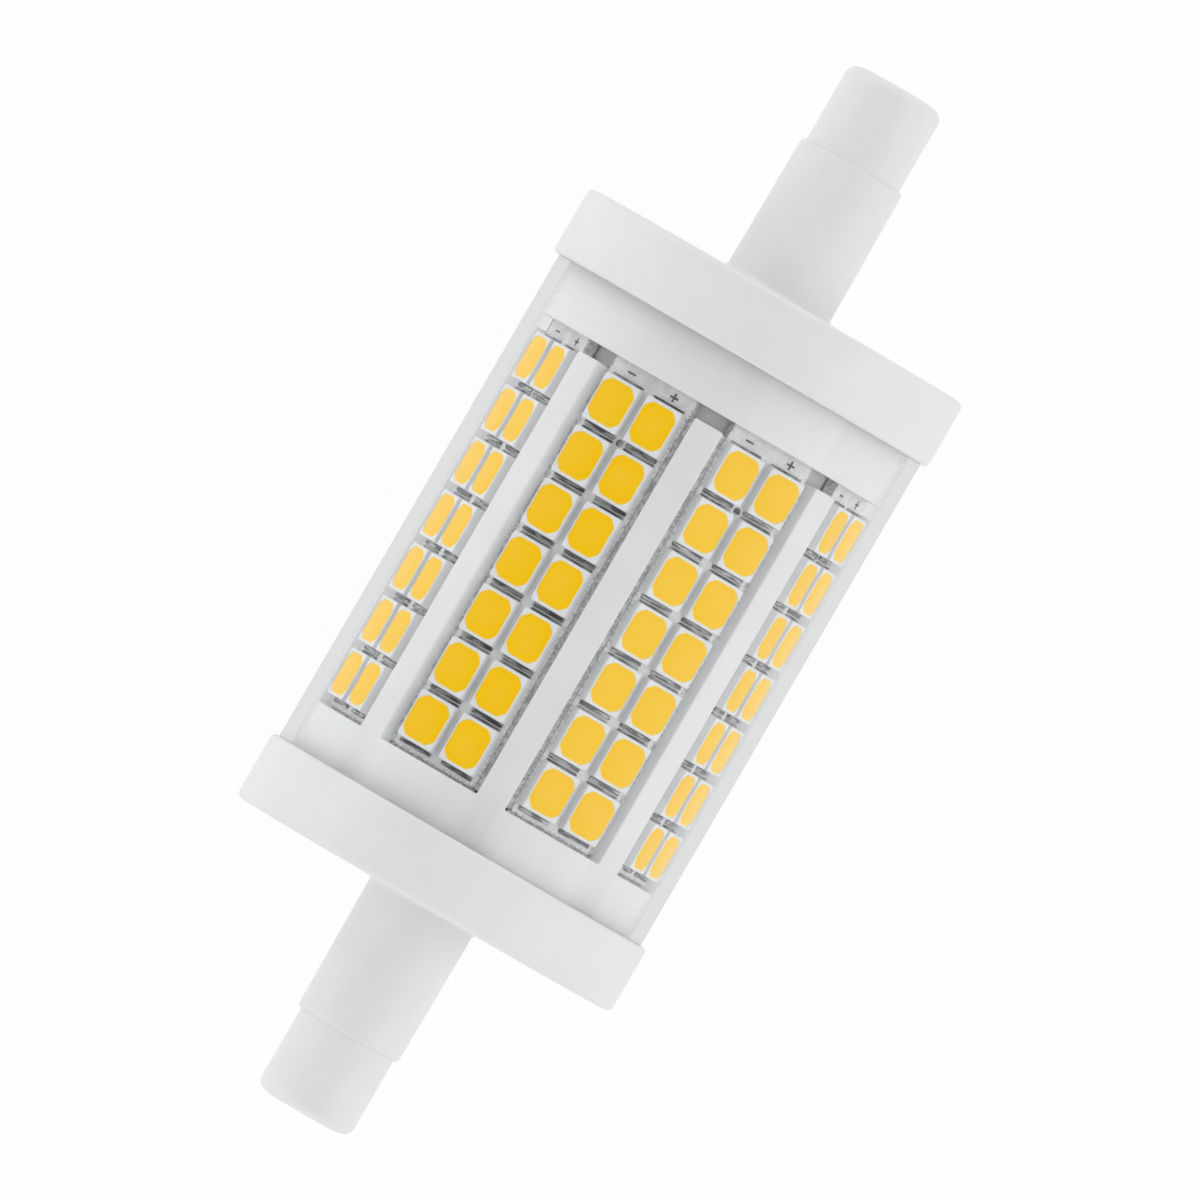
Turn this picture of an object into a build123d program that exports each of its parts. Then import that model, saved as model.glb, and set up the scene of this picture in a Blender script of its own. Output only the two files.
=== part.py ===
from build123d import *
import math
import os

# A double-ended linear LED lamp: eight LED boards around a white core, under a clear tube,
# between two capped ends.
# The lamp axis is X, the origin is the middle of its length, and one rib of the core points up along +Z.
# All sizes are in millimetres.

# Base tips and necks, alike at both ends
lamp_length = 78.0
tip_length = 6.0
tip_radius = 3.5
tip_wall = 1.5
tip_chamfer = 0.4
recess_depth = 1.55
neck_length = 9.9
neck_step = 0.33
neck_chamfer = 0.2

# Flanges, each with a cup that takes the end of the clear cover
flange_thickness = 4.8
flange_chamfer = 0.35
cover_seat_depth = 2.0
lip_wall = 0.42
lip_fit = 0.05

# Clear cover
cover_wall = 0.83
cover_gap = 0.15
cover_end_gap = 0.1

# LED packages and the pattern that they make on each board
led_width = 2.8
led_length = 3.5
led_height = 0.8
led_side_rim = 0.15
led_end_rim = 0.3
cup_depth = 0.35
cup_sag = 0.03
column_pitch = 3.33
column_count = 2
row_pitch = 4.0

# LED boards
board_thickness = 0.8
board_side_margin = 0.185
board_tuck = 1.2

# Board carrier: eight flats with a rib along each corner, lower collar, bore
facet_count = 8
pocket_side_gap = 0.075
pocket_end_gap = 0.15
pocket_end_margin = 0.75
rib_width = 2.1
rib_end_margin = 0.2
carrier_fit = 0.1
carrier_wall = 1.57
lower_collar_length = 5.3

# Retaining collar over the upper ends of the boards
collar_gap = 0.98
collar_fit = 0.05
collar_shoulder = 0.5
corner_drop = 1.1

# Eight-sided link board that joins the upper ends of the LED boards
link_thickness = 1.0
link_bore = 3.0
link_edge_gap = 0.12
link_room = 2.0

# Base contacts and mains leads
contact_ledge = 0.4
contact_fit = 0.02
contact_seat_length = 1.45
contact_collar_length = 1.5
lead_radius = 0.6
solder_lap = 2.0

# Driver board in the carrier bore, and the parts on it
driver_thickness = 1.2
driver_inset = 1.5
groove_depth = 0.7
groove_fit = 0.1
part_gap = 0.05
part_spacing = 1.0
capacitor_radius = 4.0
capacitor_length = 10.0
choke_side = 6.0
choke_height = 4.0
choke_chamfer = 0.8
resistor_radius = 1.2
resistor_length = 6.5
resistor_offset = 5.5
rectifier_length = 4.7
rectifier_width = 3.9
rectifier_height = 1.6
chip_length = 4.9
chip_width = 3.9
chip_height = 1.5
supply_pin_side = 0.64
supply_pin_offset = 4.5

# Stations along the axis, measured from the middle of the lamp
tip_end = lamp_length / 2
neck_end = tip_end - tip_length
flange_face = neck_end - neck_length
lip_face = flange_face - flange_thickness
cup_floor = lip_face + cover_seat_depth
contact_face = tip_end - recess_depth
contact_seat = contact_face - contact_seat_length
contact_back = contact_seat - contact_collar_length

# The rows of LEDs start above the lower collar and fill the room that the upper end leaves them
array_low = -cup_floor + lower_collar_length + pocket_end_margin
upper_stack = rib_end_margin + collar_gap + board_tuck + link_thickness + link_room
row_count = int((cup_floor - upper_stack - array_low - led_length) / row_pitch) + 1
array_high = array_low + (row_count - 1) * row_pitch + led_length
pocket_low = array_low - pocket_end_margin
board_low = pocket_low + pocket_end_gap
rib_high = array_high + rib_end_margin
collar_low = rib_high + collar_gap
board_high = collar_low + board_tuck
link_high = board_high + link_thickness
driver_low = -cup_floor + driver_inset
driver_high = board_high - driver_inset

# Widths across a facet and radii about the axis, worked out from the LEDs outwards
led_span = (column_count - 1) * column_pitch + led_width
board_width = led_span + 2 * board_side_margin
pocket_floor = board_width + 2 * pocket_side_gap
half_facet = math.pi / facet_count
board_seat = (pocket_floor / 2 + rib_width / 2 / math.cos(half_facet)) / math.tan(half_facet)
board_top = board_seat + board_thickness
led_top = board_top + led_height
cover_bore = math.hypot(led_top, led_span / 2) + cover_gap
cover_radius = cover_bore + cover_wall
lip_bore = cover_radius + lip_fit
flange_radius = lip_bore + lip_wall
carrier_radius = cover_bore - carrier_fit
carrier_bore = board_seat - carrier_wall
collar_bore = math.hypot(board_top, board_width / 2) + collar_fit
low_corner_radius = collar_bore - corner_drop
link_radius = collar_bore - link_edge_gap
neck_radius = tip_radius + neck_step
recess_radius = tip_radius - tip_wall
contact_bore = recess_radius - contact_ledge

# Heights inside the carrier bore: the mains leads run on the axis and lie on the driver board
driver_top = -lead_radius - part_gap
driver_bottom = driver_top - driver_thickness
driver_half_width = carrier_bore + groove_depth - groove_fit


def disc(x_low, x_high, section):
    """A section drawn across the axis, as a solid from x_low to x_high."""
    return extrude(Plane.YZ.offset(x_low) * section, x_high - x_low)


def turned(points):
    """A closed outline of (x, radius) points, as a flat face beside the axis."""
    return make_face(Polyline(*points, close=True))


def corner(outline, x, radius):
    """The vertex of a turned outline at (x, radius)."""
    return outline.vertices().sort_by_distance((x, radius, 0))[0]


def facet_angle(index):
    """The angle of a facet about X, from +Z, with a rib between each two facets."""
    return (index + 0.5) * 360 / facet_count


def end_cap():
    """The cap at +X: flange with its cup, neck and tip, hollow for the contact and its lead."""
    outline = turned([
        (lip_face, lip_bore),
        (lip_face, flange_radius),
        (flange_face, flange_radius),
        (flange_face, neck_radius),
        (neck_end, neck_radius),
        (neck_end, tip_radius),
        (tip_end, tip_radius),
        (tip_end, recess_radius),
        (contact_face, recess_radius),
        (contact_face, contact_bore),
        (contact_seat, contact_bore),
        (contact_seat, recess_radius),
        (cup_floor, recess_radius),
        (cup_floor, lip_bore),
    ])
    outline = chamfer(corner(outline, tip_end, tip_radius), tip_chamfer)
    outline = chamfer(corner(outline, neck_end, neck_radius), min(neck_chamfer, neck_step * 0.8))
    outline = chamfer(corner(outline, flange_face, flange_radius), flange_chamfer)
    outline = chamfer(corner(outline, lip_face, flange_radius), min(flange_chamfer, lip_wall * 0.8))
    return revolve(outline, Axis.X)


def contact():
    """The contact at +X: a pin with its face on the recess floor, and a collar behind the ledge."""
    collar_radius = recess_radius - contact_fit
    pin_radius = contact_bore - contact_fit
    outline = turned([
        (contact_back, 0),
        (contact_back, collar_radius),
        (contact_seat, collar_radius),
        (contact_seat, pin_radius),
        (contact_face, pin_radius),
        (contact_face, 0),
    ])
    return revolve(outline, Axis.X)


def lead(x_low, x_high):
    """A mains lead on the axis, from the driver board to the back of a contact."""
    return disc(x_low, x_high, Circle(lead_radius))


def clear_cover():
    """The clear tube, with its ends in the cups of the two caps."""
    reach = cup_floor - cover_end_gap
    return disc(-reach, reach, Circle(cover_radius) - Circle(cover_bore))


def core_section():
    """The carrier's core: a flat for each board."""
    return RegularPolygon(board_seat, facet_count, major_radius=False, rotation=90)


def rib_section():
    """The core with a straight-sided rib along each corner."""
    rib = Pos(0, carrier_radius / 2) * Rectangle(rib_width, carrier_radius)
    section = core_section()
    for index in range(facet_count):
        section += Rot(Z=index * 360 / facet_count) * rib
    return section & Circle(carrier_radius)


def low_section():
    """The core under the upper collar, with its corners cut back between the boards."""
    corner_angle = 90 + 180 / facet_count
    cut = RegularPolygon(low_corner_radius, facet_count, major_radius=False, rotation=corner_angle)
    return core_section() & cut


def board_carrier():
    """The white core: lower collar, eight ribs with pockets between them, and a plain upper end."""
    carrier = disc(-cup_floor, pocket_low, Circle(carrier_radius))
    carrier += disc(pocket_low, rib_high, rib_section())
    carrier += disc(rib_high, board_high, low_section())
    carrier -= disc(-cup_floor, board_high, Circle(carrier_bore))
    groove_height = driver_thickness + 2 * groove_fit
    groove = Rectangle(2 * (carrier_bore + groove_depth), groove_height)
    carrier -= disc(driver_low, board_high, Pos(0, (driver_top + driver_bottom) / 2) * groove)
    return carrier


def retaining_collar():
    """The upper white ring: it goes over the board ends and its shoulder holds the link board down."""
    shoulder_bore = link_radius * math.cos(half_facet) - collar_shoulder
    outline = turned([
        (collar_low, collar_bore),
        (collar_low, carrier_radius),
        (cup_floor, carrier_radius),
        (cup_floor, shoulder_bore),
        (link_high, shoulder_bore),
        (link_high, collar_bore),
    ])
    return revolve(outline, Axis.X)


def led_places():
    """(along, across) of each LED on a board."""
    first_row = array_low + led_length / 2
    first_column = -(column_count - 1) * column_pitch / 2
    return [
        (first_row + row * row_pitch, first_column + column * column_pitch)
        for row in range(row_count)
        for column in range(column_count)
    ]


def on_facet(index, piece):
    """A piece drawn on top of the lamp, turned to a facet."""
    return Rot(X=facet_angle(index)) * piece


def led_board():
    """A board lying on top of the lamp, at its facet's height."""
    length = board_high - board_low
    middle = (board_high + board_low) / 2
    return Pos(middle, 0, board_seat + board_thickness / 2) * Box(length, board_width, board_thickness)


cup_length = led_length - 2 * led_end_rim
cup_width = led_width - 2 * led_side_rim


def led_package(along, across):
    """One white package with an open cup in its top."""
    body = Pos(along, across, board_top + led_height / 2) * Box(led_length, led_width, led_height)
    cup = Pos(along, across, led_top - cup_depth / 2) * Box(cup_length, cup_width, cup_depth)
    return body - cup


def phosphor(along, across):
    """The yellow fill of one cup, a little below its rim."""
    height = cup_depth - cup_sag
    middle = led_top - cup_depth + height / 2
    return Pos(along, across, middle) * Box(cup_length, cup_width, height)


def link_board():
    """The eight-sided board across the upper ends of the carrier and the LED boards."""
    outline = RegularPolygon(link_radius, facet_count, rotation=90)
    opening = RegularPolygon(link_bore, facet_count, rotation=90)
    return disc(board_high, link_high, outline - opening)


def driver_board():
    """The driver's board, with its long edges in the two grooves."""
    section = Pos(0, (driver_top + driver_bottom) / 2) * Rectangle(2 * driver_half_width, driver_thickness)
    return disc(driver_low, driver_high, section)


capacitor_low = driver_low + solder_lap + part_spacing
capacitor_high = capacitor_low + capacitor_length


def smoothing_capacitor():
    """The round capacitor, lying along the axis on the driver board."""
    height = driver_top + part_gap + capacitor_radius
    return disc(capacitor_low, capacitor_high, Pos(0, height) * Circle(capacitor_radius))


def storage_choke():
    """The square shielded choke beyond the capacitor, with its upright edges cut."""
    square = Rectangle(choke_side, choke_side)
    choke_outline = chamfer(square.vertices(), choke_chamfer)
    block = extrude(choke_outline, choke_height)
    return Pos(capacitor_high + part_spacing + choke_side / 2, 0, driver_top) * block


def fuse_resistor():
    """The fusible resistor, lying beside the capacitor."""
    height = driver_top + part_gap + resistor_radius
    section = Pos(resistor_offset, height) * Circle(resistor_radius)
    return disc(capacitor_low, capacitor_low + resistor_length, section)


def underside_part(x_low, length, width, height):
    """A block part soldered to the underside of the driver board."""
    return Pos(x_low + length / 2, 0, driver_bottom - height / 2) * Box(length, width, height)


def supply_pin(side):
    """One of the two square pins from the driver board to the link board."""
    section = Rectangle(supply_pin_side, supply_pin_side)
    place = Pos(side * supply_pin_offset, driver_top + supply_pin_side / 2)
    return disc(driver_high - solder_lap, board_high, place * section)


def save(name, *solids):
    """Write one node: a solid, or a group of like solids that stay separate."""
    shape = solids[0] if len(solids) == 1 else Compound(children=list(solids))
    export_step(shape, os.path.join("parts", name + ".step"))


os.makedirs("parts", exist_ok=True)

right_cap = end_cap()
right_contact = contact()
save("right_end_cap", right_cap)
save("left_end_cap", mirror(right_cap, about=Plane.YZ))
save("right_contact", right_contact)
save("left_contact", mirror(right_contact, about=Plane.YZ))
save("right_mains_lead", lead(driver_high - solder_lap, contact_back))
save("left_mains_lead", lead(-contact_back, driver_low + solder_lap))
save("clear_cover", clear_cover())
save("board_carrier", board_carrier())
save("retaining_collar", retaining_collar())
save("link_board", link_board())

for facet in range(facet_count):
    number = str(facet + 1)
    save("led_board_" + number, on_facet(facet, led_board()))
    save("led_packages_" + number, *[on_facet(facet, led_package(*place)) for place in led_places()])
    save("phosphor_fills_" + number, *[on_facet(facet, phosphor(*place)) for place in led_places()])

save("driver_board", driver_board())
save("smoothing_capacitor", smoothing_capacitor())
save("storage_choke", storage_choke())
save("fuse_resistor", fuse_resistor())
rectifier_low = driver_low + solder_lap + part_spacing
chip_low = rectifier_low + rectifier_length + part_spacing
save("bridge_rectifier", underside_part(rectifier_low, rectifier_length, rectifier_width, rectifier_height))
save("driver_chip", underside_part(chip_low, chip_length, chip_width, chip_height))
save("supply_pins", supply_pin(-1), supply_pin(1))
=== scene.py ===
import math
import bmesh
import bpy
from mathutils import Matrix, Vector, noise


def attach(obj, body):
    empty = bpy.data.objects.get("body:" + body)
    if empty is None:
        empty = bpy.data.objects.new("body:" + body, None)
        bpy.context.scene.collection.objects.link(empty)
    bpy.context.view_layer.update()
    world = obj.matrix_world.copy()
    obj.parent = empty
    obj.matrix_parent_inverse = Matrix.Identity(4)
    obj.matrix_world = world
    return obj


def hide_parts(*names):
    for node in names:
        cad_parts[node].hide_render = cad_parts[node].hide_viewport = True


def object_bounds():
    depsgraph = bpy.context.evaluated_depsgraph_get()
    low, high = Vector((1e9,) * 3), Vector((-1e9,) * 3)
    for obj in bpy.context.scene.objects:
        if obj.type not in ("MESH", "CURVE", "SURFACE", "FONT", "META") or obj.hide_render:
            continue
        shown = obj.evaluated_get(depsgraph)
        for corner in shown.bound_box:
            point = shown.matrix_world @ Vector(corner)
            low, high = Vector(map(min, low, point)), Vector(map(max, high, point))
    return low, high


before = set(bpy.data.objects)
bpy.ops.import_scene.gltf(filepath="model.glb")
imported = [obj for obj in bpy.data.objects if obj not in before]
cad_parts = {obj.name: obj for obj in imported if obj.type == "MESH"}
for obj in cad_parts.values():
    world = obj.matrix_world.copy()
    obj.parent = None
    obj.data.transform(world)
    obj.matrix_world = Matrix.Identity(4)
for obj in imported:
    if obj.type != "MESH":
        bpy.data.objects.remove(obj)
cadLow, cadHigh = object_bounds()
mm = 0.001
facetCount = 8   # one board on each facet of the carrier
print("frame:", len(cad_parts), "CAD nodes")


# Shader links

class Link:
    # one output of a shader tree, with sums that add Math nodes
    def __init__(self, tree, socket):
        self.tree = tree
        self.socket = socket

    def node(self, kind, settings=None, sockets=None, out=0):
        made = self.tree.nodes.new("ShaderNode" + kind)
        for name, value in (settings or {}).items():
            setattr(made, name, value)
        for name, value in (sockets or {}).items():
            if isinstance(value, Link):
                self.tree.links.new(value.socket, made.inputs[name])
            else:
                made.inputs[name].default_value = value
        return Link(self.tree, made.outputs[out])

    def maths(self, operation, first, second=0.0):
        return self.node("Math", {"operation": operation}, {0: first, 1: second})

    def __add__(self, other):
        return self.maths("ADD", self, other)

    def __radd__(self, other):
        return self.maths("ADD", other, self)

    def __sub__(self, other):
        return self.maths("SUBTRACT", self, other)

    def __rsub__(self, other):
        return self.maths("SUBTRACT", other, self)

    def __mul__(self, other):
        return self.maths("MULTIPLY", self, other)

    def __rmul__(self, other):
        return self.maths("MULTIPLY", other, self)

    def __pow__(self, other):
        return self.maths("POWER", self, other)

    def ramp(self, low, high):   # 0 below low, 1 above high
        return self.node("MapRange", {"interpolation_type": "SMOOTHSTEP"},
                         {"Value": self, "From Min": low, "From Max": high})

    def colour(self, first, second):   # from one colour to the other as this link goes from 0 to 1
        return self.node("Mix", {"data_type": "RGBA"}, {0: self, 6: first, 7: second}, 2)

    def noise(self, scale, detail=2.0):
        return self.node("TexNoise", {}, {"Vector": self, "Scale": scale, "Detail": detail})

    def bump(self, height, look):
        return self.node("Bump", {},
                         {"Height": height, "Strength": look["relief"], "Distance": look["depth"] * mm})

    def fromAxis(self):   # distance from the lamp axis
        across = self.node("VectorMath", {"operation": "MULTIPLY"}, {0: self, 1: (0.0, 1.0, 1.0)})
        return self.node("VectorMath", {"operation": "LENGTH"}, {0: across}, 1)

    def ray(self, kind):   # 1 for rays of one kind
        return self.node("LightPath", {}, {}, "Is " + kind + " Ray")


def startFinish(name):
    finish = bpy.data.materials.new(name)
    finish.use_nodes = True
    finish.node_tree.nodes.clear()
    coordinates = finish.node_tree.nodes.new("ShaderNodeTexCoord")
    return finish, Link(finish.node_tree, coordinates.outputs["Object"])


def endFinish(finish, surface):
    output = finish.node_tree.nodes.new("ShaderNodeOutputMaterial")
    finish.node_tree.links.new(surface.socket, output.inputs["Surface"])
    return finish


def tone(colour):
    return (*colour, 1.0)


# Finishes: scales are per metre, depths of relief in mm

cloudLow, cloudHigh = 0.35, 0.65   # where clouds of noise turn from the dark tone to the light one


def grainedFinish(name, look):   # two tones in soft clouds, with a fine grain in the surface
    finish, place = startFinish(name)
    cloud = place.noise(look["cloud"], detail=3.0)
    grain = place.noise(look["grain"], detail=2.0)
    surface = place.node("BsdfPrincipled", {}, {
        "Base Color": cloud.ramp(cloudLow, cloudHigh).colour(tone(look["dark"]), tone(look["light"])),
        "Roughness": look["roughness"] + look["roughnessSpread"] * (cloud - 0.5),
        "Normal": place.bump(grain, look),
    })
    return endFinish(finish, surface)


mouldedWhite = grainedFinish("moulded_white", {
    "dark": (0.775, 0.785, 0.795), "light": (0.805, 0.813, 0.820), "cloud": 160, "grain": 6500,
    "roughness": 0.42, "roughnessSpread": 0.16, "relief": 0.22, "depth": 0.012})

ledWhite = grainedFinish("led_white", {
    "dark": (0.755, 0.762, 0.77), "light": (0.80, 0.807, 0.815), "cloud": 420, "grain": 9000,
    "roughness": 0.34, "roughnessSpread": 0.12, "relief": 0.15, "depth": 0.006})

markInk = grainedFinish("mark_ink", {
    "dark": (0.13, 0.13, 0.14), "light": (0.20, 0.20, 0.21), "cloud": 3000, "grain": 9000,
    "roughness": 0.6, "roughnessSpread": 0.1, "relief": 0.2, "depth": 0.005})

boardEdge = grainedFinish("board_edge", {
    "dark": (0.52, 0.52, 0.525), "light": (0.84, 0.84, 0.845), "cloud": 5200, "grain": 7000,
    "roughness": 0.6, "roughnessSpread": 0.2, "relief": 0.5, "depth": 0.03})

bondGrey = grainedFinish("bond_grey", {
    "dark": (0.46, 0.46, 0.465), "light": (0.78, 0.785, 0.79), "cloud": 4200, "grain": 7000,
    "roughness": 0.62, "roughnessSpread": 0.2, "relief": 0.35, "depth": 0.02})

leadSleeve = grainedFinish("lead_sleeve", {
    "dark": (0.62, 0.60, 0.56), "light": (0.72, 0.70, 0.66), "cloud": 500, "grain": 4000,
    "roughness": 0.6, "roughnessSpread": 0.1, "relief": 0.4, "depth": 0.03})

ferriteGrey = grainedFinish("ferrite_grey", {
    "dark": (0.045, 0.045, 0.05), "light": (0.085, 0.085, 0.09), "cloud": 1500, "grain": 4500,
    "roughness": 0.68, "roughnessSpread": 0.15, "relief": 0.6, "depth": 0.03})

resistorCoat = grainedFinish("resistor_coat", {
    "dark": (0.10, 0.24, 0.16), "light": (0.14, 0.30, 0.20), "cloud": 700, "grain": 3000,
    "roughness": 0.5, "roughnessSpread": 0.15, "relief": 0.4, "depth": 0.03})

chipBlack = grainedFinish("chip_black", {
    "dark": (0.018, 0.018, 0.02), "light": (0.035, 0.035, 0.038), "cloud": 900, "grain": 6000,
    "roughness": 0.55, "roughnessSpread": 0.1, "relief": 0.4, "depth": 0.02})

capacitorSleeve = grainedFinish("capacitor_sleeve", {
    "dark": (0.025, 0.035, 0.07), "light": (0.04, 0.055, 0.10), "cloud": 300, "grain": 2500,
    "roughness": 0.36, "roughnessSpread": 0.1, "relief": 0.15, "depth": 0.02})


maskLook = {"dark": (0.735, 0.74, 0.74), "light": (0.83, 0.835, 0.83), "mottle": 900, "speck": 3600,
            "mottleShare": 0.65, "speckShare": 0.35, "patchLow": 0.40, "patchHigh": 0.58,
            "roughness": 0.38, "roughnessSpread": 0.18, "relief": 0.35, "depth": 0.02}


def maskFinish(name, look):   # solder mask over rough metal, mottled at two scales
    finish, place = startFinish(name)
    mottle = place.noise(look["mottle"], detail=4.0)
    speck = place.noise(look["speck"], detail=3.0)
    mixed = look["mottleShare"] * mottle + look["speckShare"] * speck
    patches = mixed.ramp(look["patchLow"], look["patchHigh"])
    surface = place.node("BsdfPrincipled", {}, {
        "Base Color": patches.colour(tone(look["dark"]), tone(look["light"])),
        "Roughness": look["roughness"] + look["roughnessSpread"] * speck,
        "Normal": place.bump(speck, look),
    })
    return endFinish(finish, surface)


boardMask = maskFinish("board_mask", maskLook)


solderLook = {"dark": (0.17, 0.17, 0.175), "light": (0.60, 0.60, 0.61), "streak": 900, "stretch": 6.0,
              "streakLow": 0.42, "streakHigh": 0.60, "roughness": 0.24, "roughnessSpread": 0.25,
              "metallic": 0.70, "relief": 1.0, "depth": 0.10}


def solderFinish(name, look):   # tin drawn out in streaks across the lamp
    finish, place = startFinish(name)
    drawn = place.node("Mapping", {}, {"Vector": place, "Scale": (look["stretch"], 1.0, 1.0)})
    streak = drawn.noise(look["streak"], detail=4.0)
    bright = streak.ramp(look["streakLow"], look["streakHigh"])
    surface = place.node("BsdfPrincipled", {}, {
        "Base Color": bright.colour(tone(look["dark"]), tone(look["light"])),
        "Metallic": look["metallic"],
        "Roughness": look["roughness"] + look["roughnessSpread"] * streak,
        "Normal": place.bump(streak, look),
    })
    return endFinish(finish, surface)


tinnedMetal = solderFinish("tinned_metal", solderLook)


laminateLook = {"dark": (0.03, 0.10, 0.06), "light": (0.05, 0.16, 0.09), "threads": 2100, "waver": 0.6,
                "roughness": 0.42, "roughnessSpread": 0.1, "relief": 0.2, "depth": 0.02}


def laminateFinish(name, look):   # woven glass cloth showing through the resin
    finish, place = startFinish(name)
    wave = {"Vector": place, "Scale": look["threads"], "Distortion": look["waver"]}
    warp = place.node("TexWave", {"bands_direction": "X"}, wave, 1)
    weft = place.node("TexWave", {"bands_direction": "Y"}, wave, 1)
    cloth = warp * weft
    surface = place.node("BsdfPrincipled", {}, {
        "Base Color": cloth.colour(tone(look["dark"]), tone(look["light"])),
        "Roughness": look["roughness"] + look["roughnessSpread"] * cloth,
        "Normal": place.bump(cloth, look),
    })
    return endFinish(finish, surface)


driverLaminate = laminateFinish("driver_laminate", laminateLook)


phosphorLook = {"deep": (0.845, 0.50, 0.0), "pale": (0.85, 0.52, 0.02), "cloud": 420, "powder": 8000,
                "cloudShare": 0.5, "powderShare": 0.2, "inwardShare": 0.35,
                "paleLow": 0.30, "paleHigh": 0.75, "thin": (0.82, 0.62, 0.16), "thinEdge": 0.07,
                "roughness": 0.22, "roughnessSpread": 0.12, "specular": 0.31, "relief": 0.2, "depth": 0.01,
                # glow is painted light: the fill gives off a faint yellow light of its own, though the LED
                # is not lit
                "glow": (1.0, 0.59, 0.0), "glowStrength": 0.135}


def phosphorFinish(name, look):   # powder in clear silicone, with a painted glow added on top of the light it reflects
    finish, place = startFinish(name)
    cloud = place.noise(look["cloud"], detail=2.0)
    powder = place.noise(look["powder"], detail=3.0)
    inward = place.node("Attribute", {"attribute_name": "inward"}, {}, "Fac")   # 0 at the rim of the cup
    mixed = look["cloudShare"] * cloud + look["powderShare"] * powder + look["inwardShare"] * inward
    paler = mixed.ramp(look["paleLow"], look["paleHigh"])   # most of all over the chip
    body = paler.colour(tone(look["deep"]), tone(look["pale"]))
    thick = inward.ramp(0.0, look["thinEdge"])   # the fill thins out up the wall of the cup
    surface = place.node("BsdfPrincipled", {}, {
        "Base Color": thick.colour(tone(look["thin"]), body),
        "Roughness": look["roughness"] + look["roughnessSpread"] * (powder - 0.5),
        "Specular IOR Level": look["specular"],
        # painted glow: a steady emission that brightens the fill whatever light falls on it
        "Emission Color": tone(look["glow"]),
        "Emission Strength": look["glowStrength"],
        "Normal": place.bump(powder, look),
    })
    return endFinish(finish, surface)


phosphorGel = phosphorFinish("phosphor_gel", phosphorLook)


contactLook = {"dark": (0.60, 0.58, 0.54), "light": (0.76, 0.74, 0.70), "cloud": 1400, "rings": 60000,
               "roughness": 0.24, "roughnessSpread": 0.14, "relief": 0.12, "depth": 0.01}


def turnedMetalFinish(name, look):   # plated metal with the lathe's rings about the lamp axis
    finish, place = startFinish(name)
    rings = 0.5 + 0.5 * place.maths("SINE", look["rings"] * place.fromAxis())
    cloud = place.noise(look["cloud"], detail=3.0)
    surface = place.node("BsdfPrincipled", {}, {
        "Base Color": cloud.ramp(cloudLow, cloudHigh).colour(tone(look["dark"]), tone(look["light"])),
        "Metallic": 1.0,
        "Roughness": look["roughness"] + look["roughnessSpread"] * cloud,
        "Normal": place.bump(rings, look),
    })
    return endFinish(finish, surface)


contactMetal = turnedMetalFinish("contact_metal", contactLook)


clearLook = {"ior": 1.36, "gloss": (0.97, 0.98, 1.0), "roughness": 0.03, "smear": 220,
             "smearRoughness": 0.05, "tint": (0.996, 0.998, 0.998),
             "edge": (0.65, 0.66, 0.665), "edgeHaze": 0.72,
             "edgeStart": 0.55, "edgeFull": 0.68,   # facing, from 0 square on to 1 edge on
             "skinLow": 13.2, "skinHigh": 13.4}   # radii between the bore and the outer skin


def clearFinish(name, look):   # a thin clear wall: what isn't reflected goes straight through
    finish, place = startFinish(name)
    behind = place.node("NewGeometry", {}, {}, "Backfacing")
    front = (1 - behind) * (1 - place.ray("Shadow")) * (1 - place.ray("Diffuse"))   # soft light goes through
    outside = place.fromAxis().ramp(look["skinLow"] * mm, look["skinHigh"] * mm)
    fresnel = place.node("Fresnel", {}, {"IOR": look["ior"]})
    smear = place.noise(look["smear"], detail=4.0)
    through = place.node("BsdfTransparent", {}, {"Color": tone(look["tint"])})
    gloss = place.node("BsdfGlossy", {}, {
        "Color": tone(look["gloss"]), "Roughness": look["roughness"] + look["smearRoughness"] * smear})
    shine = fresnel * front * outside   # the bore adds no gloss
    wall = place.node("MixShader", {}, {0: shine, 1: through, 2: gloss})
    facing = place.node("LayerWeight", {}, {"Blend": 0.5}, "Facing")
    haze = look["edgeHaze"] * front * facing.ramp(look["edgeStart"], look["edgeFull"])
    lit = place.node("BsdfDiffuse", {}, {"Color": tone(look["edge"])})
    shining = place.node("BsdfTranslucent", {}, {"Color": tone(look["edge"])})
    milky = place.node("MixShader", {}, {0: outside, 1: shining, 2: lit})   # a long way through the wall
    return endFinish(finish, place.node("MixShader", {}, {0: haze, 1: wall, 2: milky}))


coverClear = clearFinish("cover_clear", clearLook)
print("finishes:", len(bpy.data.materials))


# Mesh helpers: sizes are in mm

mergeDistance = 0.0002
roundSegments = 4   # in each rounded corner of a turned section


def faceOutward(bm):   # a block whose volume comes out negative is inside out
    bmesh.ops.recalc_face_normals(bm, faces=bm.faces)
    waiting = set(bm.faces)
    while waiting:   # one closed block at a time
        block = [waiting.pop()]
        for face in block:
            near = {other for edge in face.edges for other in edge.link_faces} & waiting
            waiting -= near
            block.extend(near)
        corner = block[0].verts[0].co
        volume = sum((face.verts[0].co - corner).dot(face.normal) * face.calc_area() for face in block)
        if volume < 0:
            bmesh.ops.reverse_faces(bm, faces=block)


def addPiece(name, bm, finishes, nodes=(), sharp=32):
    bmesh.ops.remove_doubles(bm, verts=bm.verts, dist=mergeDistance * mm)
    faceOutward(bm)
    mesh = bpy.data.meshes.new(name)
    bm.to_mesh(mesh)
    bm.free()
    for finish in finishes:
        mesh.materials.append(finish)
    mesh.shade_smooth()
    mesh.set_sharp_from_angle(angle=math.radians(sharp))
    piece = bpy.data.objects.new(name, mesh)
    bpy.context.scene.collection.objects.link(piece)
    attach(piece, "root")
    if nodes:
        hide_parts(*nodes)
    return piece


def bevelVerts(bm, verts, offset, segments):
    bmesh.ops.bevel(bm, geom=verts, offset=offset * mm, affect="VERTICES", segments=segments, profile=0.5,
                    material=-1)


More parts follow.
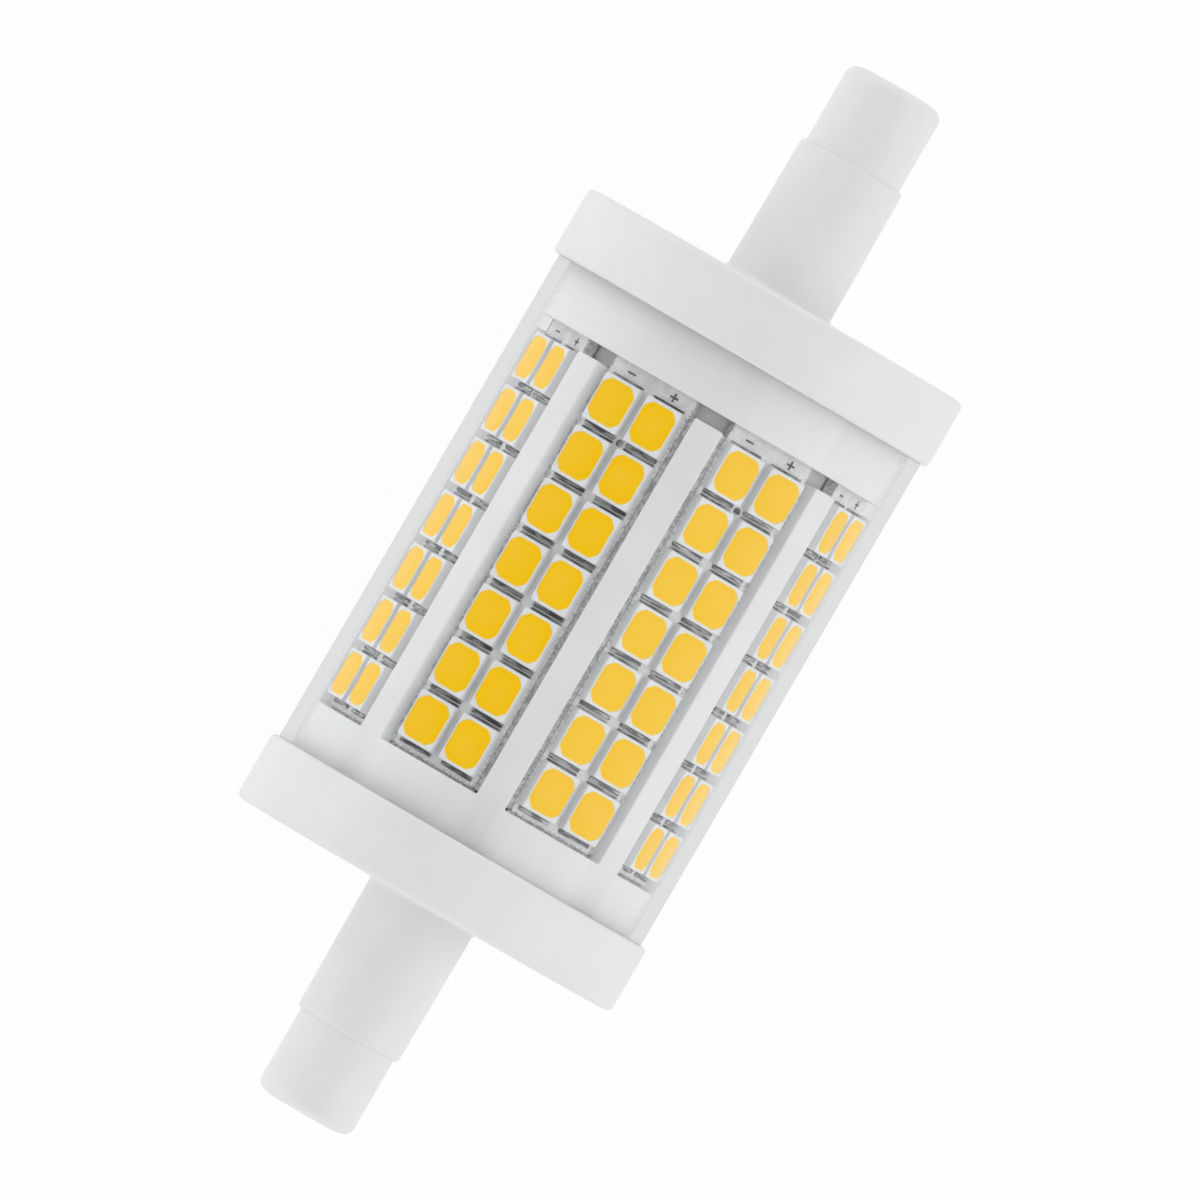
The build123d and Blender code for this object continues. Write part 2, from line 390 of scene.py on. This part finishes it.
def bevelEdges(bm, edges, offset, segments):
    bmesh.ops.bevel(bm, geom=edges, offset=offset * mm, affect="EDGES", segments=segments, profile=0.5,
                    material=-1)


def turnedShape(corners, steps, side=1):   # corners are (along, radius, rounding), round a closed section
    bm = bmesh.new()
    verts = [bm.verts.new((side * along * mm, 0.0, radius * mm)) for along, radius, rounding in corners]
    for index, vert in enumerate(verts):
        if corners[index][1] > 0 or corners[index - 1][1] > 0:
            bm.edges.new((verts[index - 1], vert))
    for vert, corner in zip(verts, corners):
        if corner[2] > 0:
            bevelVerts(bm, [vert], corner[2], roundSegments)
    bmesh.ops.spin(bm, geom=bm.verts[:] + bm.edges[:], cent=(0, 0, 0), axis=(1, 0, 0), dvec=(0, 0, 0),
                   angle=math.tau, steps=steps, use_merge=True, use_duplicate=False)
    return bm


# a flat plate with cut corners, and each cut eased again where ease is given
def cornerPlate(bm, along, across, height, length, width, cut, segments=2, ease=0.0):
    others = set(bm.faces)
    verts = bmesh.ops.create_grid(bm, x_segments=1, y_segments=1, size=0.5)["verts"]
    bmesh.ops.scale(bm, vec=(length * mm, width * mm, 1), verts=verts)
    bmesh.ops.translate(bm, vec=(along * mm, across * mm, height * mm), verts=verts)
    bevelVerts(bm, verts, cut, segments)
    plate = next(face for face in bm.faces if face not in others)
    if ease > 0:
        bevelVerts(bm, plate.verts[:], ease, 1)
        plate = next(face for face in bm.faces if face not in others)
    return plate


def raised(bm, face, height):   # pulls a face up and leaves a closed block
    top = bmesh.ops.extrude_face_region(bm, geom=[face], use_keep_orig=True)["geom"]
    verts = [item for item in top if isinstance(item, bmesh.types.BMVert)]
    bmesh.ops.translate(bm, vec=(0, 0, height * mm), verts=verts)
    return next(item for item in top if isinstance(item, bmesh.types.BMFace))


def spread(bm, places):   # copies all that is there to each place, and takes the first one away
    first = bm.verts[:]
    source = first + bm.edges[:] + bm.faces[:]
    for along, across in places:
        copied = bmesh.ops.duplicate(bm, geom=source)["geom"]
        verts = [item for item in copied if isinstance(item, bmesh.types.BMVert)]
        bmesh.ops.translate(bm, vec=(along * mm, across * mm, 0), verts=verts)
    bmesh.ops.delete(bm, geom=first, context="VERTS")


def onFacet(bm, number):   # turns a shape from the top of the lamp to a facet
    angle = (number - 0.5) * math.tau / facetCount
    bmesh.ops.rotate(bm, cent=(0, 0, 0), matrix=Matrix.Rotation(angle, 3, "X"), verts=bm.verts)


def toMesh(bm):   # a shape kept to be copied to the facets
    mesh = bpy.data.meshes.new("template")
    bm.to_mesh(mesh)
    bm.free()
    return mesh


def fromMesh(mesh):
    bm = bmesh.new()
    bm.from_mesh(mesh)
    return bm


# End caps

cap = {"lipFace": 18.3, "cupFloor": 20.3, "flangeFace": 23.1, "neckEnd": 33.0, "tipEnd": 39.0,
       "flangeRadius": 14.195, "lipBore": 13.775, "neckRoot": 3.88, "neckTop": 3.79, "tipRadius": 3.5,
       "tipDome": 0.28, "mouthWidth": 0.3, "mouthDrop": 0.05,
       "recess": 2.0, "recessFloor": 37.45, "contactBore": 1.6, "contactSeat": 36.0,
       "lipRound": 0.3, "flangeRound": 0.45, "rootRound": 0.4, "stepRound": 0.2, "innerRound": 0.06,
       "tipRound": 0.55, "mouthRound": 0.25, "mouthEdge": 0.1, "recessRound": 0.15, "cupRound": 0.1,
       "steps": 128}


def capShape(side):
    corners = [
        (cap["lipFace"], cap["lipBore"], cap["innerRound"]),
        (cap["lipFace"], cap["flangeRadius"], cap["lipRound"]),
        (cap["flangeFace"], cap["flangeRadius"], cap["flangeRound"]),
        (cap["flangeFace"], cap["neckRoot"], cap["rootRound"]),
        (cap["neckEnd"], cap["neckTop"], cap["stepRound"]),
        (cap["neckEnd"], cap["tipRadius"], cap["innerRound"]),
        (cap["tipEnd"] - cap["tipDome"], cap["tipRadius"], cap["tipRound"]),
        (cap["tipEnd"], cap["recess"] + cap["mouthWidth"], cap["mouthRound"]),
        (cap["tipEnd"] - cap["mouthDrop"], cap["recess"], cap["mouthEdge"]),
        (cap["recessFloor"], cap["recess"], cap["recessRound"]),
        (cap["recessFloor"], cap["contactBore"], 0),
        (cap["contactSeat"], cap["contactBore"], 0),
        (cap["contactSeat"], cap["recess"], 0),
        (cap["cupFloor"], cap["recess"], 0),
        (cap["cupFloor"], cap["lipBore"], cap["cupRound"]),
    ]
    return turnedShape(corners, cap["steps"], side)


addPiece("right_cap", capShape(1), [mouldedWhite], ["right_end_cap"])
addPiece("left_cap", capShape(-1), [mouldedWhite], ["left_end_cap"])


# Base contacts

contact = {"back": 34.5, "seat": 36.0, "face": 37.45, "collarRadius": 1.98, "pinRadius": 1.58,
           "dimpleRadius": 0.75, "dimpleDepth": 0.18,
           "collarRound": 0.15, "edge": 0.22, "dimpleRound": 0.12, "steps": 48}


def contactShape(side):
    corners = [
        (contact["back"], 0, 0),
        (contact["back"], contact["collarRadius"], contact["collarRound"]),
        (contact["seat"], contact["collarRadius"], 0),
        (contact["seat"], contact["pinRadius"], 0),
        (contact["face"], contact["pinRadius"], contact["edge"]),
        (contact["face"], contact["dimpleRadius"], contact["dimpleRound"]),
        (contact["face"] - contact["dimpleDepth"], 0, 0),
    ]
    return turnedShape(corners, contact["steps"], side)


addPiece("right_contact_pin", contactShape(1), [contactMetal], ["right_contact"])
addPiece("left_contact_pin", contactShape(-1), [contactMetal], ["left_contact"])


# Clear cover

cover = {"reach": 20.2, "bore": 12.895, "radius": 13.725, "edge": 0.12, "steps": 160}


def coverShape():
    corners = [
        (-cover["reach"], cover["bore"], cover["edge"]),
        (cover["reach"], cover["bore"], cover["edge"]),
        (cover["reach"], cover["radius"], cover["edge"]),
        (-cover["reach"], cover["radius"], cover["edge"]),
    ]
    return turnedShape(corners, cover["steps"])


addPiece("cover_tube", coverShape(), [coverClear], ["clear_cover"])
print("turned pieces made")


# Board carrier and retaining collar: the CAD shapes with softened edges

soft = {"carrierEdge": 0.16, "collarEdge": 0.14, "segments": 3, "angle": 35,   # angles in degrees
        "merge": 0.0005, "flatAngle": 0.5}


def softened(name, node, edge):
    bm = fromMesh(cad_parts[node].data)
    bmesh.ops.remove_doubles(bm, verts=bm.verts, dist=soft["merge"] * mm)
    flat = math.radians(soft["flatAngle"])
    bmesh.ops.dissolve_limit(bm, angle_limit=flat, verts=bm.verts, edges=bm.edges)
    piece = addPiece(name, bm, [mouldedWhite], [node], sharp=180)
    bevel = piece.modifiers.new("soft_edges", "BEVEL")
    bevel.width = edge * mm
    bevel.segments = soft["segments"]
    bevel.limit_method = "ANGLE"
    bevel.angle_limit = math.radians(soft["angle"])
    bevel.harden_normals = True


softened("carrier_core", "board_carrier", soft["carrierEdge"])
softened("collar_ring", "retaining_collar", soft["collarEdge"])
print("carrier and collar softened")


# LED boards

board = {"low": -14.85, "high": 15.63, "width": 6.5, "seat": 10.771, "top": 11.571,
         "corner": 0.2, "edge": 0.04, "bare": 0.11,   # bare metal round the mask
         "markAlong": 13.85, "markAcross": 1.7, "markLength": 0.62, "markWidth": 0.14, "markHeight": 0.02,
         "markCorner": 0.02, "sink": 0.01}   # marks and pads reach a little below the top
maskSlot, edgeSlot, inkSlot = 0, 1, 2   # in the order of a board's finishes


def boardShape():
    bm = bmesh.new()
    length = board["high"] - board["low"]
    middle = (board["high"] + board["low"]) / 2
    plate = cornerPlate(bm, middle, 0, board["seat"], length, board["width"], board["corner"])
    top = raised(bm, plate, board["top"] - board["seat"])
    bevelEdges(bm, top.edges[:], board["edge"], 1)
    top = max(bm.faces, key=lambda face: face.calc_area() * face.normal.z)
    bmesh.ops.inset_individual(bm, faces=[top], thickness=board["bare"] * mm)
    for face in bm.faces:
        face.material_index = maskSlot if face == top else edgeSlot
    strips = [(board["markAcross"], board["markLength"], board["markWidth"]),
              (-board["markAcross"], board["markLength"], board["markWidth"]),
              (-board["markAcross"], board["markWidth"], board["markLength"])]
    foot = board["top"] - board["sink"]
    for across, wide, tall in strips:   # polarity marks
        strip = cornerPlate(bm, board["markAlong"], across, foot, tall, wide, board["markCorner"])
        before = set(bm.faces)
        raised(bm, strip, board["markHeight"] + board["sink"])
        for face in bm.faces:
            if face not in before:
                face.material_index = inkSlot
    return toMesh(bm)


# LED packages, phosphor fills and solder pads

led = {"length": 3.5, "width": 2.8, "height": 0.8, "corner": 0.14, "draft": 0.965, "edge": 0.05,
       "cupLength": 3.04, "cupWidth": 2.58, "cupCut": 0.5, "cupRound": 0.11, "cupDepth": 0.35,
       "cupTaper": 0.94, "firstRow": -12.5, "rowPitch": 4.0, "rows": 7, "columnPitch": 3.33,
       "fillGap": 0.01, "fillLow": 0.045,
       "domeSteps": ((0.82, 0.018), (0.66, 0.016), (0.45, 0.008))}   # shrink and rise of each ring
pad = {"width": 2.44, "lowLength": 0.27, "highLength": 0.13, "height": 0.14, "cut": 0.06, "edge": 0.04,
       "viaAlong": 9.5, "viaRadius": 0.26, "viaHole": 0.12, "viaHeight": 0.04, "viaSegments": 16}

ledPlaces = [(led["firstRow"] + row * led["rowPitch"], (column - 0.5) * led["columnPitch"])
             for row in range(led["rows"]) for column in range(2)]


def ledShape():
    bm = bmesh.new()
    foot = cornerPlate(bm, 0, 0, board["top"], led["length"], led["width"], led["corner"], 3)
    roof = raised(bm, foot, led["height"])
    bmesh.ops.scale(bm, vec=(led["draft"], led["draft"], 1), verts=roof.verts[:])
    rim = roof.edges[:]
    bmesh.ops.delete(bm, geom=[roof], context="FACES_ONLY")
    top = board["top"] + led["height"]
    cup = cornerPlate(bm, 0, 0, top, led["cupLength"], led["cupWidth"], led["cupCut"], 1, led["cupRound"])
    bmesh.ops.bridge_loops(bm, edges=rim + cup.edges[:])
    floor = bmesh.ops.extrude_face_region(bm, geom=[cup])["geom"]
    verts = [item for item in floor if isinstance(item, bmesh.types.BMVert)]
    bmesh.ops.scale(bm, vec=(led["cupTaper"], led["cupTaper"], 1), verts=verts)
    bmesh.ops.translate(bm, vec=(0, 0, -led["cupDepth"] * mm), verts=verts)
    bmesh.ops.delete(bm, geom=[cup], context="FACES_ONLY")
    bmesh.ops.recalc_face_normals(bm, faces=bm.faces)
    bevelEdges(bm, [edge for edge in rim if edge.is_valid], led["edge"], 1)
    spread(bm, ledPlaces)
    return toMesh(bm)


def phosphorShape():
    bm = bmesh.new()
    base = board["top"] + led["height"] - led["cupDepth"]
    length = led["cupLength"] - led["fillGap"]
    width = led["cupWidth"] - led["fillGap"]
    fill = cornerPlate(bm, 0, 0, base, length, width, led["cupCut"], 1, led["cupRound"])
    roof = raised(bm, fill, led["cupDepth"] - led["fillLow"])
    bmesh.ops.scale(bm, vec=(led["cupTaper"], led["cupTaper"], 1), verts=fill.verts[:])
    inward = bm.verts.layers.float.new("inward")   # read by the finish
    size = 1.0
    for shrink, rise in led["domeSteps"]:   # rings of a low dome
        ring = bmesh.ops.extrude_face_region(bm, geom=[roof])["geom"]
        bmesh.ops.delete(bm, geom=[roof], context="FACES_ONLY")
        roof = next(item for item in ring if isinstance(item, bmesh.types.BMFace))
        bmesh.ops.scale(bm, vec=(shrink, shrink, 1), verts=roof.verts[:])
        bmesh.ops.translate(bm, vec=(0, 0, rise * mm), verts=roof.verts[:])
        size *= shrink
        for vert in roof.verts:
            vert[inward] = 1 - size
    spread(bm, ledPlaces)
    return toMesh(bm)


def padShape():
    bm = bmesh.new()
    foot = board["top"] - board["sink"]
    for side, length in ((-1, pad["lowLength"]), (1, pad["highLength"])):
        along = side * (led["length"] + length) / 2
        plate = cornerPlate(bm, along, 0, foot, length, pad["width"], pad["cut"])
        roof = raised(bm, plate, pad["height"] + board["sink"])
        bevelEdges(bm, roof.edges[:], pad["edge"], 2)
    spread(bm, ledPlaces)
    via = bmesh.ops.create_circle(bm, cap_ends=True, segments=pad["viaSegments"],
                                  radius=pad["viaRadius"] * mm)
    ring = via["verts"]
    bmesh.ops.translate(bm, vec=(pad["viaAlong"] * mm, 0, foot * mm), verts=ring)
    roof = raised(bm, ring[0].link_faces[0], pad["viaHeight"] + board["sink"])
    bmesh.ops.inset_individual(bm, faces=[roof], thickness=(pad["viaRadius"] - pad["viaHole"]) * mm)
    bmesh.ops.translate(bm, vec=(0, 0, -pad["viaHeight"] * mm), verts=roof.verts[:])
    return toMesh(bm)


# Bonding beads in the grooves between the boards and the ribs

bond = {"low": -14.8, "high": 13.35, "steps": 60, "foot": 3.24, "groove": 3.33,
        "floor": 10.78, "level": 11.36, "lean": math.tan(math.pi / facetCount), "dip": 0.07,
        "wobble": 0.05, "wobbleRun": 0.37, "wobbleApart": 5.0,
        "end": -14.92, "endLength": 0.16, "endCorner": 0.02}


def bondShape():
    bm = bmesh.new()
    wall = bond["groove"] + (bond["level"] - bond["floor"]) * bond["lean"]
    middle = (bond["foot"] + wall) / 2
    lower = [(bond["foot"], bond["floor"]), (bond["groove"], bond["floor"])]
    upper = [(wall, bond["level"]), (middle, bond["level"] - bond["dip"]),
             (bond["foot"], bond["level"] - bond["dip"] / 2)]
    between = (bond["floor"] + bond["level"]) / 2
    pitch = (bond["high"] - bond["low"]) / bond["steps"]
    for side in (-1, 1):
        ring = bm.faces.new([bm.verts.new((bond["low"] * mm, side * across * mm, height * mm))
                             for across, height in lower + upper])
        for step in range(bond["steps"]):
            last = ring
            moved = bmesh.ops.extrude_face_region(bm, geom=[last], use_keep_orig=True)["geom"]
            ring = next(item for item in moved if isinstance(item, bmesh.types.BMFace))
            if step > 0:
                bmesh.ops.delete(bm, geom=[last], context="FACES_ONLY")
            bmesh.ops.translate(bm, vec=(pitch * mm, 0, 0), verts=ring.verts[:])
            run = noise.noise(Vector((step * bond["wobbleRun"], side * bond["wobbleApart"], 0.0)))
            for vert in ring.verts:
                if vert.co.z > between * mm:   # the open side of the bead is a little uneven
                    across, height = min(upper, key=lambda corner: abs(corner[0] * mm - abs(vert.co.y)))
                    vert.co.z = (height + bond["wobble"] * run) * mm
    size = (bond["endLength"], 2 * bond["groove"], bond["endCorner"])
    plate = cornerPlate(bm, bond["end"], 0, bond["floor"], *size)   # the bead across the closed end
    raised(bm, plate, bond["level"] - bond["floor"])
    return toMesh(bm)


boardMesh = boardShape()
ledMesh = ledShape()
phosphorMesh = phosphorShape()
padMesh = padShape()
bondMesh = bondShape()
for number in range(1, facetCount + 1):
    mark = str(number)
    for name, mesh, finishes, slot, nodes in (
            ("board_" + mark, boardMesh, [boardMask, boardEdge, markInk], "board_mask",
             ["led_board_" + mark]),
            ("leds_" + mark, ledMesh, [ledWhite], "led_plastic", ["led_packages_" + mark]),
            ("phosphor_" + mark, phosphorMesh, [phosphorGel], "phosphor", ["phosphor_fills_" + mark]),
            ("pads_" + mark, padMesh, [tinnedMetal], "tinned_metal", []),
            ("bond_" + mark, bondMesh, [bondGrey], "lead_sleeve", [])):
        shape = fromMesh(mesh)
        onFacet(shape, number)
        addPiece(name, shape, finishes, nodes)
for mesh in (boardMesh, ledMesh, phosphorMesh, padMesh, bondMesh):
    bpy.data.meshes.remove(mesh)
print("boards dressed:", facetCount)


# CAD nodes that stay, inside the carrier

inside = {"right_mains_lead": leadSleeve, "left_mains_lead": leadSleeve, "link_board": boardMask,
          "driver_board": driverLaminate, "smoothing_capacitor": capacitorSleeve,
          "storage_choke": ferriteGrey, "fuse_resistor": resistorCoat, "bridge_rectifier": chipBlack,
          "driver_chip": chipBlack, "supply_pins": tinnedMetal}
for node, finish in inside.items():
    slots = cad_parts[node].data.materials
    slots.clear()
    slots.append(finish)
print("inner nodes finished:", len(inside))


# Floor, world, lamps and camera

stageSet = {"floorSize": 1.6, "floorColour": (0.94, 0.94, 0.94), "floorWhite": 0.94,
            "zenith": 0.86, "skirt": 1.36, "fall": 2.0,   # light from above and from the sides
            "ceiling": 0.02, "horizon": 1.0, "ceilingLow": 0.30, "ceilingHigh": 0.75}   # what gloss mirrors


def makeFloor():
    bm = bmesh.new()
    bmesh.ops.create_grid(bm, x_segments=1, y_segments=1, size=stageSet["floorSize"] / 2)
    bmesh.ops.translate(bm, vec=(0, 0, cadLow.z), verts=bm.verts)
    mesh = bpy.data.meshes.new("floor")
    bm.to_mesh(mesh)
    bm.free()
    floor = bpy.data.objects.new("floor", mesh)
    bpy.context.scene.collection.objects.link(floor)
    finish, place = startFinish("floor_white")
    seen = stageSet["floorWhite"] * (place.ray("Camera") + place.ray("Glossy") + place.ray("Transmission"))
    matt = place.node("BsdfDiffuse", {}, {"Color": tone(stageSet["floorColour"])})
    white = place.node("Emission", {}, {"Strength": 1.0})
    mesh.materials.append(endFinish(finish, place.node("MixShader", {}, {0: seen, 1: matt, 2: white})))


def makeWorld():
    world = bpy.data.worlds.new("studio")
    world.use_nodes = True
    tree = world.node_tree
    tree.nodes.clear()
    sky = Link(tree, tree.nodes.new("ShaderNodeTexCoord").outputs["Generated"])
    height = sky.node("SeparateXYZ", {}, {0: sky}, "Z")
    glossy = sky.ray("Glossy")
    seen = sky.ray("Camera") + sky.ray("Transmission")
    overhead = height.ramp(stageSet["ceilingLow"], stageSet["ceilingHigh"])
    mirrored = stageSet["horizon"] - (stageSet["horizon"] - stageSet["ceiling"]) * overhead
    fall = (1 - height.ramp(0.0, 1.0)) ** stageSet["fall"]
    ambient = stageSet["zenith"] + (stageSet["skirt"] - stageSet["zenith"]) * fall
    unseen = glossy * mirrored + (1 - glossy) * ambient
    strength = seen + (1 - seen) * unseen
    light = sky.node("Background", {}, {"Strength": strength})
    output = tree.nodes.new("ShaderNodeOutputWorld")
    tree.links.new(light.socket, output.inputs["Surface"])
    bpy.context.scene.world = world


lampSet = {
    # bearing about Z from +X and rise above the level in degrees, reach and size in metres
    "left_one": {"bearing": 50, "rise": 10, "reach": 0.6, "wide": 0.36, "tall": 0.24, "radiance": 1.5},
    "left_two": {"bearing": 130, "rise": 10, "reach": 0.6, "wide": 0.36, "tall": 0.24, "radiance": 1.5},
    "side_softbox": {"bearing": 270, "rise": 46, "reach": 0.62, "wide": 0.4, "tall": 0.6, "radiance": 1.02},
}


def makeLamp(name, lamp):
    bearing, rise = math.radians(lamp["bearing"]), math.radians(lamp["rise"])
    level = math.cos(rise)
    toLamp = Vector((math.cos(bearing) * level, math.sin(bearing) * level, math.sin(rise)))
    light = bpy.data.lights.new(name, "AREA")
    light.shape = "RECTANGLE"
    light.size, light.size_y = lamp["wide"], lamp["tall"]
    light.energy = lamp["radiance"] * math.pi * lamp["wide"] * lamp["tall"]
    lampObject = bpy.data.objects.new(name, light)
    turn = toLamp.to_track_quat("Z", "Y").to_matrix().to_4x4()
    lampObject.matrix_world = Matrix.Translation(toLamp * lamp["reach"]) @ turn
    lampObject.visible_camera = False
    bpy.context.scene.collection.objects.link(lampObject)


cameraSet = {"roll": 59.816, "lean": 2.1,   # degrees
             "distance": 2.2, "frameWidth": 0.07884, "near": 0.1, "far": 20.0,   # metres
             "sensor": 36.0}   # mm


def makeCamera():
    lean, roll = math.radians(cameraSet["lean"]), math.radians(cameraSet["roll"])
    back = Vector((0, math.sin(lean), math.cos(lean)))   # from the lamp to the camera
    along = Vector((1, 0, 0))
    aside = Vector((0, -math.cos(lean), math.sin(lean)))
    right = math.cos(roll) * along + math.sin(roll) * aside
    up = math.sin(roll) * along - math.cos(roll) * aside
    data = bpy.data.cameras.new("camera")
    data.sensor_width = cameraSet["sensor"]
    data.lens = cameraSet["sensor"] * cameraSet["distance"] / cameraSet["frameWidth"]
    data.clip_start, data.clip_end = cameraSet["near"], cameraSet["far"]
    camera = bpy.data.objects.new("camera", data)
    turn = Matrix((right, up, back)).transposed().to_4x4()
    camera.matrix_world = Matrix.Translation(back * cameraSet["distance"]) @ turn
    bpy.context.scene.collection.objects.link(camera)
    bpy.context.scene.camera = camera


makeFloor()
makeWorld()
for name, lamp in lampSet.items():
    makeLamp(name, lamp)
makeCamera()
bpy.context.scene.view_settings.view_transform = "Standard"
print("stage set")
